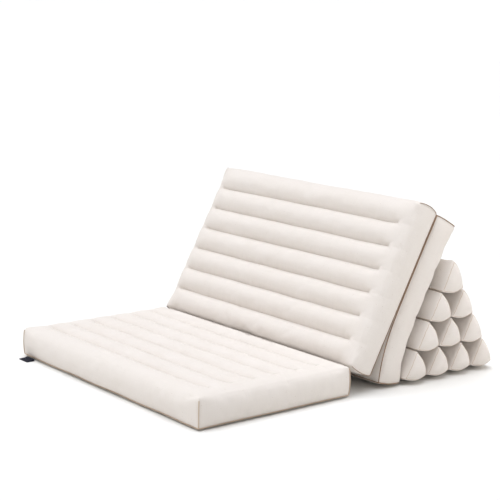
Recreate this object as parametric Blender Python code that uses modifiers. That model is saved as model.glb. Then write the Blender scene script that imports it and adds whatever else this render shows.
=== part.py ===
"""Thai triangle cushion with three fold-out mat sections, one laid flat and two leaning on the wedge.

Units are metres, +Z is up, +X runs along the sewn channels and +Y runs from the seat to the wedge.
Each filled section is a box with cuts along its seams, whose points are then moved by a rule.
"""

import math

import bmesh
import bpy
from mathutils import Vector

# Driving sizes of the mat sections
MAT_WIDTH = 0.790
MAT_THICKNESS = 0.078
SEAT_LENGTH = 0.463
BACK_LENGTH = 0.447
REAR_LENGTH = 0.450
CHANNELS = 7

# Filling: how far the cloth stands proud of its seams, and how deep the sewn channels are
CROWN_REACH = 0.045
GROOVE_DEPTH = 0.015
GROOVE_SHOULDERS = (0.007, 0.019)
UNDER_GROOVE_DEPTH = 0.008
UNDER_GROOVE_REACH = 0.016
SIDE_BULGE = 0.007
SIDE_BULGE_REACH = 0.035
FACE_EDGE_RADIUS = 0.009
SEAM_EDGE_RADIUS = 0.004
GROOVE_END_FADE = 0.022

# For each section: where its sewn channels stop left and right of its middle, the crown of its
# quilted face, how far up from its lower end that crown builds, and the share of the side bulge
# that is left at its corner seams
SEAT_FILLING = (-0.357, 0.338, 0.007, 0.045, 0.25)
BACK_FILLING = (-0.366, 0.350, 0.007, 0.045, 0.80)
REAR_FILLING = (-0.352, 0.358, 0.011, 0.160, 0.10)

# How the two leaning sections stand
LEAN = math.radians(61.4)
REAR_BEND_START = 0.200
REAR_BEND_ANGLE = math.radians(23.0)
BEND_STEPS = 80
HINGE_GAP = 0.0025
SECTION_GAP = 0.0024

# Wedge of ten stuffed triangular tubes, four rows high
WEDGE_ROWS = 4
TUBE_PITCH = 0.0825
ROW_HEIGHT = 0.0715
TOP_TUBE_EXTRA = 0.004
WEDGE_LENGTH = 0.798
WEDGE_SHIFT_X = 0.010
WEDGE_FRONT_Y = 0.6435
WEDGE_BASE_Z = 0.0170
TUBE_SEAM_INSET = 0.0006
TUBE_BULGE = 0.0155
TUBE_PRESS_SLOPE = 0.48
TUBE_END_SHARE = 0.55
REAR_FLANK_END_SHARE = 0.22
PRESSED_FLANK_SHARE = 0.15
FLOOR_BASE_SHARE = 1.35
TUBE_END_REACH = 0.08
CAP_PUFF = 0.016
CAP_ROUNDNESS = 0.50
CAP_CORNER_TUCK = 0.004
TUBE_CUTS = 5

# Cloth strips that hinge one section to the next, as lines in the YZ plane between the two
STRIP_THICKNESS = 0.0014
STRIP_LENGTH = 0.740
HINGES = {
    "hinge_seat_back": ((0.4697, 0.0620), (0.4667, 0.0700), (0.4645, 0.0760), (0.4640, 0.0792)),
    "hinge_back_rear": (
        (0.7425, 0.4418), (0.7470, 0.4373), (0.7488, 0.4344), (0.7530, 0.4338), (0.7600, 0.4325),
    ),
    "hinge_rear_wedge": ((0.6425, 0.0085), (0.6427, 0.0150), (0.6432, 0.0200), (0.6455, 0.0265)),
}

# Folded tab in the seat's front lower seam
TAB_WIDTH = 0.040
TAB_LENGTH = 0.021
TAB_THICKNESS = 0.0024
TAB_FROM_LEFT = 0.019
TAB_ROOT_RISE = 0.0022

CLOTH_COLOUR = (0.807, 0.745, 0.665)
TAB_COLOUR = (0.012, 0.013, 0.030)


def clear_scene():
    for old in list(bpy.data.objects):
        bpy.data.objects.remove(old)


def collection_named(name):
    collection = bpy.data.collections.new(name)
    bpy.context.scene.collection.children.link(collection)
    return collection


def cloth_material(name, colour, roughness):
    material = bpy.data.materials.new(name)
    material.use_nodes = True
    shader = material.node_tree.nodes["Principled BSDF"]
    shader.inputs["Base Color"].default_value = (*colour, 1.0)
    shader.inputs["Roughness"].default_value = roughness
    shader.inputs["Metallic"].default_value = 0.0
    return material


def object_from_bmesh(bm, name, material, collection, smooth_angle=math.radians(50.0)):
    bmesh.ops.recalc_face_normals(bm, faces=bm.faces)
    mesh = bpy.data.meshes.new(name)
    bm.to_mesh(mesh)
    bm.free()
    mesh.materials.append(material)
    mesh.shade_smooth()
    mesh.set_sharp_from_angle(angle=smooth_angle)
    made = bpy.data.objects.new(name, mesh)
    collection.objects.link(made)
    return made


def cut_across(bm, axis, places):
    """Cuts every face of the mesh with planes at these places along an axis."""
    normal = Vector([1.0 if i == axis else 0.0 for i in range(3)])
    for place in places:
        everything = bm.verts[:] + bm.edges[:] + bm.faces[:]
        bmesh.ops.bisect_plane(bm, geom=everything, plane_co=normal * place, plane_no=normal, dist=1e-6)


def smoothstep(value):
    value = min(1.0, max(0.0, value))
    return value * value * (3.0 - 2.0 * value)


def direction(slope):
    """Unit vector in the YZ plane, this far round from +Y towards +Z."""
    return Vector((0.0, math.cos(slope), math.sin(slope)))


def groove_profile(v, pitch, reach):
    """1 on a sewn line, falling to 0 this far from it, rounded like a stuffed tube."""
    nearest = round(v / pitch)
    if nearest <= 0 or nearest >= CHANNELS:
        return 0.0
    return (1.0 - min(1.0, abs(v - nearest * pitch) / reach)) ** 2


def groove_span_fade(u, left, right):
    """1 along the sewn line, falling to 0 past its two ends."""
    return smoothstep(min(u - left, right - u) / GROOVE_END_FADE + 0.5)


def rounded(point, size):
    """Rounds the box's edges: softly round the quilted face, and tighter at the seam of the other face."""
    radii = Vector((SEAM_EDGE_RADIUS, SEAM_EDGE_RADIUS, SEAM_EDGE_RADIUS))
    if point.z > 0.0:
        radii.z = FACE_EDGE_RADIUS
    inner = Vector()
    for i in range(3):
        limit = size[i] / 2.0 - radii[i]
        inner[i] = min(limit, max(-limit, point[i]))
    over = point - inner
    shares = [over[i] / radii[i] for i in range(3)]
    length = math.sqrt(sum(share * share for share in shares))
    if length < 1e-9:
        return point.copy()
    return inner + over * (max(abs(share) for share in shares) / length)


def puffed(point, rounded_point, size, filling):
    """Swells the quilted face, leaves the other pressed flat, and draws both in along the sewn lines."""
    width, length, thickness = size
    left, right, crown, lower_reach, corner_share = filling
    made = rounded_point.copy()
    from_side = width / 2.0 - abs(point.x)
    from_end = length / 2.0 - abs(point.y)
    v = point.y + length / 2.0
    pitch = length / CHANNELS
    sewn = groove_span_fade(point.x, left, right)
    if abs(point.z - thickness / 2.0) < 1e-6:
        made.z += crown * smoothstep(min(from_side / CROWN_REACH, from_end / CROWN_REACH, v / lower_reach))
        made.z -= GROOVE_DEPTH * groove_profile(v, pitch, pitch / 2.0) * sewn
    if abs(point.z + thickness / 2.0) < 1e-6:
        made.z += UNDER_GROOVE_DEPTH * groove_profile(v, pitch, UNDER_GROOVE_REACH) * sewn
    bulge = SIDE_BULGE * math.cos(math.pi * point.z / thickness)
    for axis, from_corner in ((0, from_end), (1, from_side)):
        if abs(abs(point[axis]) - size[axis] / 2.0) < 1e-6:
            share = corner_share + (1.0 - corner_share) * smoothstep(from_corner / SIDE_BULGE_REACH)
            made[axis] += math.copysign(bulge * share, point[axis])
    return made


def mat_section(length, filling):
    """One filled mat section lying flat, its quilted face up, centred on the origin."""
    size = Vector((MAT_WIDTH, length, MAT_THICKNESS))
    bm = bmesh.new()
    bmesh.ops.create_cube(bm, size=1.0)
    bmesh.ops.scale(bm, vec=size, verts=bm.verts)
    half_width, half_length, half_thickness = size / 2.0
    edge_cuts = (SEAM_EDGE_RADIUS * 0.5, SEAM_EDGE_RADIUS, SIDE_BULGE_REACH)
    across = [side * (half_width - cut) for side in (-1.0, 1.0) for cut in edge_cuts]
    across += [end + step for end in filling[:2] for step in (-GROOVE_END_FADE / 2.0, GROOVE_END_FADE / 2.0)]
    across += [-half_width / 2.0, 0.0, half_width / 2.0]
    cut_across(bm, 0, across)
    pitch = length / CHANNELS
    along = [side * (half_length - cut) for side in (-1.0, 1.0) for cut in edge_cuts[:2]]
    for k in range(1, CHANNELS):
        seam = k * pitch - half_length
        along += [seam] + [seam + side * step for side in (-1.0, 1.0) for step in GROOVE_SHOULDERS]
    along += [(k + 0.5) * pitch - half_length for k in range(CHANNELS)]
    cut_across(bm, 1, along)
    quarter = half_thickness / 2.0
    up = (SEAM_EDGE_RADIUS - half_thickness, -quarter, 0.0, quarter, half_thickness - FACE_EDGE_RADIUS)
    cut_across(bm, 2, up)
    for vertex in bm.verts:
        vertex.co = puffed(vertex.co, rounded(vertex.co, size), size, filling)
    return bm


def place_seat(bm):
    """Lays the section on the floor, where its underside goes flat."""
    for vertex in bm.verts:
        x, y, z = vertex.co
        vertex.co = Vector((x, y + SEAT_LENGTH / 2.0, max(0.0, z + MAT_THICKNESS / 2.0)))


def back_foot():
    """Where the leaning section's front lower edge meets the seat's upper back edge."""
    return Vector((0.0, SEAT_LENGTH + HINGE_GAP, MAT_THICKNESS + 0.001))


def place_back(bm):
    """Leans the section back from the seat's upper back edge, quilted face to the front."""
    up, behind = direction(LEAN), direction(LEAN - math.pi / 2.0)
    for vertex in bm.verts:
        x, y, z = vertex.co
        placed = back_foot() + up * (y + BACK_LENGTH / 2.0) + behind * (MAT_THICKNESS / 2.0 - z)
        vertex.co = placed + Vector((x, 0.0, 0.0))


def rear_top():
    """Middle of the rear section's top edge, just behind the other leaning section."""
    behind = direction(LEAN - math.pi / 2.0)
    return back_foot() + direction(LEAN) * BACK_LENGTH + behind * (1.5 * MAT_THICKNESS + SECTION_GAP)


def rear_centreline(distance):
    """Point and slope of the rear section's middle, this far down from its top edge."""
    point, slope = rear_top(), LEAN
    step = distance / BEND_STEPS
    for k in range(BEND_STEPS):
        bent = max(0.0, ((k + 0.5) * step - REAR_BEND_START) / (REAR_LENGTH - REAR_BEND_START))
        slope = LEAN + REAR_BEND_ANGLE * bent * bent
        point = point - direction(slope) * step
    return point, slope


def place_rear(bm):
    """Stands the section on its lower end, bent near the floor, quilted face to the wedge."""
    for vertex in bm.verts:
        x, y, z = vertex.co
        point, slope = rear_centreline(REAR_LENGTH / 2.0 - y)
        placed = point + direction(slope - math.pi / 2.0) * z
        vertex.co = Vector((-x, placed.y, max(0.0, placed.z)))


def tube_corners(row, column):
    """The three seams of a wedge tube in the YZ plane: top, lower rear and lower front."""
    base_z = WEDGE_BASE_Z + (WEDGE_ROWS - row) * ROW_HEIGHT
    front_y = WEDGE_FRONT_Y + (WEDGE_ROWS - row) * TUBE_PITCH / 2.0 + (column - 1) * TUBE_PITCH
    height = ROW_HEIGHT + (TOP_TUBE_EXTRA if row == 1 else 0.0)
    corners = [
        Vector((front_y + TUBE_PITCH / 2.0, base_z + height)),
        Vector((front_y + TUBE_PITCH, base_z)),
        Vector((front_y, base_z)),
    ]
    middle = sum(corners, Vector((0.0, 0.0))) / 3.0
    return [corner + (middle - corner).normalized() * TUBE_SEAM_INSET for corner in corners]


def cross(first, second):
    return first.x * second.y - first.y * second.x


def corner_shares(point, triangle):
    """How much each corner of the triangle counts at a point in it."""
    a, b, c = triangle
    whole = cross(b - a, c - a)
    return [
        max(0.0, cross(b - point, c - point) / whole),
        max(0.0, cross(c - point, a - point) / whole),
        max(0.0, cross(a - point, b - point) / whole),
    ]


def wall_swell(share, side_length):
    """How far a tube's wall swells at a share of its width, less where it presses on its neighbours."""
    from_seam = min(share, 1.0 - share) * side_length
    return min(4.0 * TUBE_BULGE * share * (1.0 - share), TUBE_PRESS_SLOPE * from_seam)


def wall_shares(row, column):
    """How full the base, front and rear walls of a tube are, first at its ends and then between them."""
    base, front, rear = (TUBE_END_SHARE, 1.0), (TUBE_END_SHARE, 1.0), (TUBE_END_SHARE, 1.0)
    if row == WEDGE_ROWS:
        base = (TUBE_END_SHARE, FLOOR_BASE_SHARE)
    if column == row:
        rear = (REAR_FLANK_END_SHARE, 1.0)
    if (row, column) == (WEDGE_ROWS, 1):
        front = (PRESSED_FLANK_SHARE, PRESSED_FLANK_SHARE)
    return base, front, rear


def tube_point(point, flat_corners, corners, walls):
    """Moves a point of the plain three-sided prism, standing on end, to its place in the wedge."""
    shares = corner_shares(point.xy, flat_corners)
    place = sum((corner * share for corner, share in zip(corners, shares)), Vector((0.0, 0.0)))
    from_end = (0.5 - abs(point.z)) * WEDGE_LENGTH
    for k, (at_end, between) in enumerate(walls):
        if shares[k] < 1e-4:
            first, second = corners[(k + 1) % 3], corners[(k + 2) % 3]
            side = second - first
            share = shares[(k + 2) % 3] / (shares[(k + 1) % 3] + shares[(k + 2) % 3])
            outward = Vector((-side.y, side.x)).normalized()
            full = at_end + (between - at_end) * smoothstep(from_end / TUBE_END_REACH)
            place = place + outward * wall_swell(share, side.length) * full
    x = point.z * WEDGE_LENGTH
    if from_end < 1e-6:
        dome = (27.0 * shares[0] * shares[1] * shares[2]) ** CAP_ROUNDNESS
        tuck = CAP_CORNER_TUCK * max(0.0, 2.0 * max(shares) - 1.0) ** 2
        x += math.copysign(1.0, point.z) * (CAP_PUFF * dome - tuck)
    return Vector((WEDGE_SHIFT_X + x, place.x, max(0.0, place.y)))


def wedge_tube(row, column):
    """One stuffed triangular tube of the wedge; row 1 is the top one and column 1 the front one."""
    bm = bmesh.new()
    bmesh.ops.create_cone(bm, cap_ends=True, segments=3, radius1=1.0, radius2=1.0, depth=1.0)
    flat_corners = [vertex.co.xy for vertex in bm.verts if vertex.co.z > 0.0]
    bmesh.ops.subdivide_edges(bm, edges=bm.edges[:], cuts=TUBE_CUTS, use_grid_fill=True)
    near_end = 0.5 - 0.35 * TUBE_END_REACH / WEDGE_LENGTH
    cut_across(bm, 2, (-near_end, near_end))
    corners, walls = tube_corners(row, column), wall_shares(row, column)
    for vertex in bm.verts:
        vertex.co = tube_point(vertex.co, flat_corners, corners, walls)
    return bm


def hinge_strip(line):
    """A cloth strip along X that follows a line in the YZ plane, still without thickness."""
    bm = bmesh.new()
    bmesh.ops.create_grid(bm, x_segments=1, y_segments=len(line) - 1, size=0.5)
    for vertex in bm.verts:
        place = line[round((vertex.co.y + 0.5) * (len(line) - 1))]
        vertex.co = Vector((vertex.co.x * STRIP_LENGTH, *place))
    return bm


def thicken(made, thickness):
    cloth = made.modifiers.new("cloth thickness", "SOLIDIFY")
    cloth.thickness = thickness
    cloth.offset = 0.0


def seam_tab():
    """A plain folded tab sewn in the seat's front lower seam, its free end resting on the floor."""
    left = -MAT_WIDTH / 2.0 + TAB_FROM_LEFT
    bm = bmesh.new()
    bmesh.ops.create_cube(bm, size=1.0)
    cut_across(bm, 1, (-0.3, -0.1, 0.1, 0.3))
    for vertex in bm.verts:
        outwards = 0.5 - vertex.co.y
        y = -0.0035 - outwards * TAB_LENGTH
        z = TAB_ROOT_RISE * (1.0 - smoothstep(outwards * 1.5)) + (vertex.co.z + 0.5) * TAB_THICKNESS
        vertex.co = Vector((left + (vertex.co.x + 0.5) * TAB_WIDTH, y, z))
    return bm


def centre_over_floor(made):
    """Parents everything to an empty and moves that, so the origin is under the middle of it all."""
    root = bpy.data.objects.new("cushion_root", None)
    bpy.context.scene.collection.objects.link(root)
    corners = [Vector(corner) for piece in made for corner in piece.bound_box]
    middle = [(min(c[i] for c in corners) + max(c[i] for c in corners)) / 2.0 for i in range(2)]
    for piece in made:
        piece.parent = root
    root.location = (-middle[0], -middle[1], 0.0)
    bpy.context.view_layer.update()


def build():
    clear_scene()
    parts = collection_named("thai_triangle_cushion")
    cloth = cloth_material("undyed cotton", CLOTH_COLOUR, 0.9)
    tab_cloth = cloth_material("navy tape", TAB_COLOUR, 0.75)
    made = []

    # Mat sections
    sections = (
        ("seat_section", SEAT_LENGTH, SEAT_FILLING, place_seat),
        ("back_section", BACK_LENGTH, BACK_FILLING, place_back),
        ("rear_section", REAR_LENGTH, REAR_FILLING, place_rear),
    )
    for name, length, filling, place in sections:
        section = mat_section(length, filling)
        place(section)
        made.append(object_from_bmesh(section, name, cloth, parts))

    # Wedge tubes
    for row in range(1, WEDGE_ROWS + 1):
        for column in range(1, row + 1):
            tube = wedge_tube(row, column)
            made.append(object_from_bmesh(tube, f"wedge_tube_{row}_{column}", cloth, parts))

    # Hinge strips and tab
    for name, line in HINGES.items():
        strip = object_from_bmesh(hinge_strip(line), name, cloth, parts)
        thicken(strip, STRIP_THICKNESS)
        made.append(strip)
    made.append(object_from_bmesh(seam_tab(), "seam_tab", tab_cloth, parts))
    centre_over_floor(made)


build()
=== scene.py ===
import math

import bpy
import numpy as np
from mathutils import Matrix, Vector, noise


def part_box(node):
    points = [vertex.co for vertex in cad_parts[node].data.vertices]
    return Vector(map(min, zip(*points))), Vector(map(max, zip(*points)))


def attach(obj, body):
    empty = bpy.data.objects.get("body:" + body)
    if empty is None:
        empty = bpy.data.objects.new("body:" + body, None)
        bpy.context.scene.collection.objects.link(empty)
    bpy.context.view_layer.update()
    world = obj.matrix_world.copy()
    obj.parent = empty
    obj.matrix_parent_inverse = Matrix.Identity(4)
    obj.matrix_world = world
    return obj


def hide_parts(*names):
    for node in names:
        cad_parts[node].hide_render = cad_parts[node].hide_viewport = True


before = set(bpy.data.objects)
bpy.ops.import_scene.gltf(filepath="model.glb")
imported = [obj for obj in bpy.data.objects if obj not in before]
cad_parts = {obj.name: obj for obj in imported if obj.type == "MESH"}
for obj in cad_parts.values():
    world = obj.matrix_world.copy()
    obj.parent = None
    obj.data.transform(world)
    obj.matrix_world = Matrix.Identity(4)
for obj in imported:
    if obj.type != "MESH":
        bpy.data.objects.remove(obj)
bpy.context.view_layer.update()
scene = bpy.context.scene
print("frame:", len(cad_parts), "nodes")

# The mat: three filled sections of one width and thickness, sewn into seven channels (metres)
mat = {
    "width": 0.790,
    "thickness": 0.078,
    "channels": 7,
    "seamRadius": 0.004,
    "faceRadius": 0.013,
    "cornerReach": 0.05,
    "crispShare": 0.65,
    "groovePower": 2.9,
    "sideBulge": 0.007,
    "sideBulgeReach": 0.035,
    "crownReach": 0.045,
    "grooveDepth": 0.014,
    "underGrooveDepth": 0.008,
    "underGrooveReach": 0.016,
    "lineEndFade": 0.032,
    "acrossCell": 0.0095,
    "edgeCuts": (0.002, 0.0045, 0.009),
    "lineCuts": (0.0025, 0.007, 0.0145, 0.0235),
    "firstChannelCuts": (0.002, 0.0045, 0.009, 0.017, 0.025),
    "heightCuts": (0.0, 0.002, 0.0045, 0.0125, 0.0232, 0.0339, 0.0446, 0.0553, 0.066, 0.0705, 0.0745,
                   0.078),
}

# For each section: where its sewn lines stop left and right, the quilted face's crown and how far up it
# builds, the share of the side bulge that is left at a corner seam, which end is hinged, how far its
# perimeter seam is drawn up and in, over what distance and how thick it is, how far its foot is rounded,
# and how far a sewn line pulls the border down
sections = {
    "seat": {"node": "seat_section", "length": 0.463, "lines": (-0.357, 0.338), "crown": 0.007,
             "lowerReach": 0.045, "cornerShare": 0.25, "crispEnd": 1.0, "seamRise": 0.0045,
             "seamTuck": 0.0, "riseReach": 0.035, "seamRadius": 0.0013, "footLift": 0.0,
             "borderDip": 0.0015, "fill": 0.85},
    "back": {"node": "back_section", "length": 0.447, "lines": (-0.366, 0.348), "crown": 0.007,
             "lowerReach": 0.045, "cornerShare": 0.80, "crispEnd": -1.0, "seamRise": 0.0010,
             "seamTuck": 0.0, "riseReach": 0.030, "seamRadius": 0.0008, "footLift": 0.0,
             "borderDip": 0.0020, "fill": 0.90},
    "rear": {"node": "rear_section", "length": 0.450, "lines": (-0.352, 0.358), "crown": 0.011,
             "lowerReach": 0.160, "cornerShare": 0.10, "crispEnd": 1.0, "seamRise": 0.0030,
             "seamTuck": 0.0050, "riseReach": 0.030, "seamRadius": 0.0012, "footLift": 0.0075,
             "borderDip": 0.0035, "fill": 0.85},
}

# How the leaning sections stand
lean = {
    "angle": math.radians(61.4),
    "hingeGap": 0.0025,
    "liftOffSeat": 0.001,
    "sectionGap": 0.0024,
    "bendStart": 0.200,
    "bendAngle": math.radians(25.5),
    "bendSteps": 80,
}

# Stuffing: what the cloth simulation is given, and how far it may move the cover
filling = {
    "pressure": 4.0,
    "slack": 0.002,
    "quality": 5,
    "bending": 0.3,
    "frames": 20,
    "matReach": 0.005,
    "tubeReach": 0.004,
}

seatLow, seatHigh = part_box("seat_section")
matMiddle = Vector(((seatLow.x + seatHigh.x) / 2.0, seatLow.y + mat["sideBulge"], 0.0))


def linearColour(hexColour):
    channels = [int(hexColour[i:i + 2], 16) / 255.0 for i in (1, 3, 5)]
    return (*[c / 12.92 if c <= 0.04045 else ((c + 0.055) / 1.055) ** 2.4 for c in channels], 1.0)


def addNode(tree, kind, inputs=None, **settings):
    made = tree.nodes.new(kind)
    for name, value in settings.items():
        setattr(made, name, value)
    for name, value in (inputs or {}).items():
        if isinstance(value, bpy.types.NodeSocket):
            tree.links.new(value, made.inputs[name])
        else:
            made.inputs[name].default_value = value
    return made


def smooth(value):
    value = np.clip(value, 0.0, 1.0)
    return value * value * (3.0 - 2.0 * value)


def softNoise(points, size, seed):
    # Smooth noise from -1 to 1, with lumps about this size
    shifted = points / size + seed * 17.3
    return np.array([noise.noise(Vector(p)) for p in shifted])


# Materials


def startMaterial(name):
    material = bpy.data.materials.new(name)
    material.use_nodes = True
    tree = material.node_tree
    tree.nodes.clear()
    output = addNode(tree, "ShaderNodeOutputMaterial")
    shader = addNode(tree, "ShaderNodeBsdfPrincipled")
    tree.links.new(shader.outputs[0], output.inputs["Surface"])
    return material, tree, shader


canvas = {
    "colour": "#E4DDD7",
    "mottleColour": "#DED6CE",
    "fleckColour": "#B09C84",
    "threadSpacing": 0.0016,
    "weaveBump": 0.00012,
    "creaseBump": 0.0009,
    "roughness": 0.88,
}


def cottonCanvas():
    # Undyed cotton canvas, plain weave: matt, with uneven threads, small flecks of seed and soft creases.
    # Its threads are 0.8 mm apart; they are drawn at 1.6 mm, so that they show at all.
    material, tree, shader = startMaterial("undyed cotton canvas")
    shader.inputs["Roughness"].default_value = canvas["roughness"]
    shader.inputs["IOR"].default_value = 1.5
    shader.inputs["Specular IOR Level"].default_value = 0.25
    shader.inputs["Sheen Weight"].default_value = 0.12
    shader.inputs["Sheen Roughness"].default_value = 0.6
    uv = addNode(tree, "ShaderNodeUVMap", uv_map="cloth")
    place = addNode(tree, "ShaderNodeTexCoord")
    parts = addNode(tree, "ShaderNodeSeparateXYZ", {0: uv.outputs["UV"]})
    turns = math.pi / canvas["threadSpacing"]
    waves = []
    for axis in range(2):
        angle = addNode(tree, "ShaderNodeMath", {0: parts.outputs[axis], 1: turns}, operation="MULTIPLY")
        waves.append(addNode(tree, "ShaderNodeMath", {0: angle.outputs[0]}, operation="SINE"))
    weave = addNode(tree, "ShaderNodeMath", {0: waves[0].outputs[0], 1: waves[1].outputs[0]},
                    operation="MULTIPLY")
    # Thick and thin threads run both ways
    slubs = []
    for stretch in ((18.0, 700.0, 1.0), (700.0, 18.0, 1.0)):
        stretched = addNode(tree, "ShaderNodeMapping", {"Vector": uv.outputs["UV"], "Scale": stretch})
        slubs.append(addNode(tree, "ShaderNodeTexNoise", {"Vector": stretched.outputs[0], "Scale": 1.0,
                                                          "Detail": 1.0}))
    slub = addNode(tree, "ShaderNodeMath", {0: slubs[0].outputs["Fac"], 1: slubs[1].outputs["Fac"]},
                   operation="ADD")
    crease = addNode(tree, "ShaderNodeTexNoise", {"Vector": place.outputs["Object"], "Scale": 75.0,
                                                  "Detail": 3.0, "Roughness": 0.55, "Distortion": 0.6})
    mottle = addNode(tree, "ShaderNodeTexNoise", {"Vector": place.outputs["Object"], "Scale": 14.0,
                                                  "Detail": 4.0})
    fleck = addNode(tree, "ShaderNodeTexVoronoi", {"Vector": place.outputs["Object"], "Scale": 70.0})
    isFleck = addNode(tree, "ShaderNodeMapRange", {"Value": fleck.outputs["Distance"], "From Min": 0.07,
                                                   "From Max": 0.04, "To Max": 0.5})
    ground = addNode(tree, "ShaderNodeMix", {"Factor": mottle.outputs["Fac"],
                                             6: linearColour(canvas["colour"]),
                                             7: linearColour(canvas["mottleColour"])}, data_type="RGBA")
    threadShade = addNode(tree, "ShaderNodeMapRange", {"Value": slub.outputs[0], "From Min": 0.7,
                                                       "From Max": 1.3, "To Min": 0.985, "To Max": 1.015})
    toned = addNode(tree, "ShaderNodeMix", {"Factor": 1.0, 6: ground.outputs[2],
                                            7: threadShade.outputs[0]}, data_type="RGBA",
                    blend_type="MULTIPLY")
    flecked = addNode(tree, "ShaderNodeMix", {"Factor": isFleck.outputs[0], 6: toned.outputs[2],
                                              7: linearColour(canvas["fleckColour"])}, data_type="RGBA")
    tree.links.new(flecked.outputs[2], shader.inputs["Base Color"])
    threads = addNode(tree, "ShaderNodeBump", {"Height": weave.outputs[0], "Strength": 0.5,
                                               "Distance": canvas["weaveBump"]})
    thick = addNode(tree, "ShaderNodeBump", {"Height": slub.outputs[0], "Strength": 0.6,
                                             "Distance": canvas["weaveBump"], "Normal": threads.outputs[0]})
    creased = addNode(tree, "ShaderNodeBump", {"Height": crease.outputs["Fac"], "Strength": 0.5,
                                               "Distance": canvas["creaseBump"],
                                               "Normal": thick.outputs[0]})
    tree.links.new(creased.outputs[0], shader.inputs["Normal"])
    return material


def sewingThreadWithPaintedShade():
    # Spun cotton thread: matt, with a fine twist, painted darker than the canvas as the shade of the groove
    # it lies in
    material, tree, shader = startMaterial("cotton thread tinted with painted groove shade")
    shader.inputs["Roughness"].default_value = 0.8
    shader.inputs["Specular IOR Level"].default_value = 0.3
    place = addNode(tree, "ShaderNodeTexCoord")
    twist = addNode(tree, "ShaderNodeTexWave", {"Vector": place.outputs["Object"], "Scale": 900.0},
                    wave_type="BANDS", bands_direction="DIAGONAL")
    tone = addNode(tree, "ShaderNodeMix", {"Factor": twist.outputs["Fac"], 6: linearColour("#DDD1C3"),
                                           7: linearColour("#CBBDAB")}, data_type="RGBA")
    tree.links.new(tone.outputs[2], shader.inputs["Base Color"])
    bump = addNode(tree, "ShaderNodeBump", {"Height": twist.outputs["Fac"], "Strength": 0.4,
                                            "Distance": 0.0001})
    tree.links.new(bump.outputs[0], shader.inputs["Normal"])
    return material


def ribbedTape():
    # Woven navy tape: nearly black, with fine ribs across it that catch a little light
    material, tree, shader = startMaterial("woven navy tape")
    shader.inputs["Roughness"].default_value = 0.75
    shader.inputs["Specular IOR Level"].default_value = 0.25
    place = addNode(tree, "ShaderNodeTexCoord")
    ribs = addNode(tree, "ShaderNodeTexWave", {"Vector": place.outputs["Object"], "Scale": 160.0},
                   wave_type="BANDS", bands_direction="X")
    wear = addNode(tree, "ShaderNodeTexNoise", {"Vector": place.outputs["Object"], "Scale": 220.0,
                                                "Detail": 2.0})
    tone = addNode(tree, "ShaderNodeMix", {"Factor": wear.outputs["Fac"], 6: linearColour("#0C0E1B"),
                                           7: linearColour("#171A2B")}, data_type="RGBA")
    tree.links.new(tone.outputs[2], shader.inputs["Base Color"])
    bump = addNode(tree, "ShaderNodeBump", {"Height": ribs.outputs["Fac"], "Strength": 0.6,
                                            "Distance": 0.0003})
    tree.links.new(bump.outputs[0], shader.inputs["Normal"])
    return material


def foldedSeamAndPaintedShade(name, colour, lightColour):
    # Canvas folded double in a seam: a browner line at this distance, partly denser cloth, partly painted
    # shade
    material, tree, shader = startMaterial(name)
    shader.inputs["Roughness"].default_value = 0.9
    shader.inputs["Specular IOR Level"].default_value = 0.2
    place = addNode(tree, "ShaderNodeTexCoord")
    uneven = addNode(tree, "ShaderNodeTexNoise", {"Vector": place.outputs["Object"], "Scale": 40.0,
                                                  "Detail": 3.0})
    tone = addNode(tree, "ShaderNodeMix", {"Factor": uneven.outputs["Fac"], 6: linearColour(colour),
                                           7: linearColour(lightColour)}, data_type="RGBA")
    tree.links.new(tone.outputs[2], shader.inputs["Base Color"])
    bump = addNode(tree, "ShaderNodeBump", {"Height": uneven.outputs["Fac"], "Strength": 0.5,
                                            "Distance": 0.0004})
    tree.links.new(bump.outputs[0], shader.inputs["Normal"])
    return material


# Painted shade: the stitch thread is coloured darker to carry the shade of the sewn grooves
cloth, threadWithPaintedShade, tape = cottonCanvas(), sewingThreadWithPaintedShade(), ribbedTape()
# Painted shade: the seat and wedge seam ridges are browner partly to stand in for the shadow along each seam
seamClothWithPaintedShade = foldedSeamAndPaintedShade("seam canvas with painted shade", "#BFA790", "#D0BFAE")
# Painted shade: little light reaches the seams between the two leaning sections, so their ridges are painted
# dark brown
paintedGapShadeCloth = foldedSeamAndPaintedShade("seam canvas with deeper painted shade", "#8A6D57", "#A58B74")
print("materials made")


# Meshes


def makeObject(name, points, faces, material=None, edges=()):
    mesh = bpy.data.meshes.new(name)
    mesh.from_pydata([tuple(p) for p in points], list(edges), [tuple(f) for f in faces])
    if material:
        mesh.materials.append(material)
        mesh.shade_smooth()
    made = bpy.data.objects.new(name, mesh)
    scene.collection.objects.link(made)
    return made


def pointsOf(mesh):
    points = np.zeros(len(mesh.vertices) * 3)
    mesh.vertices.foreach_get("co", points)
    return points.reshape(-1, 3)


def setPoints(mesh, points):
    mesh.vertices.foreach_set("co", np.asarray(points, np.float32).ravel())
    mesh.update()


def storePoints(mesh, name, points):
    stored = mesh.attributes.new(name, "FLOAT_VECTOR", "POINT")
    stored.data.foreach_set("vector", np.asarray(points, np.float32).ravel())


def readPoints(mesh, name):
    points = np.zeros(len(mesh.vertices) * 3)
    mesh.attributes[name].data.foreach_get("vector", points)
    return points.reshape(-1, 3)


def evaluatedMesh(made):
    graph = bpy.context.evaluated_depsgraph_get()
    return bpy.data.meshes.new_from_object(made.evaluated_get(graph))


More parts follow.
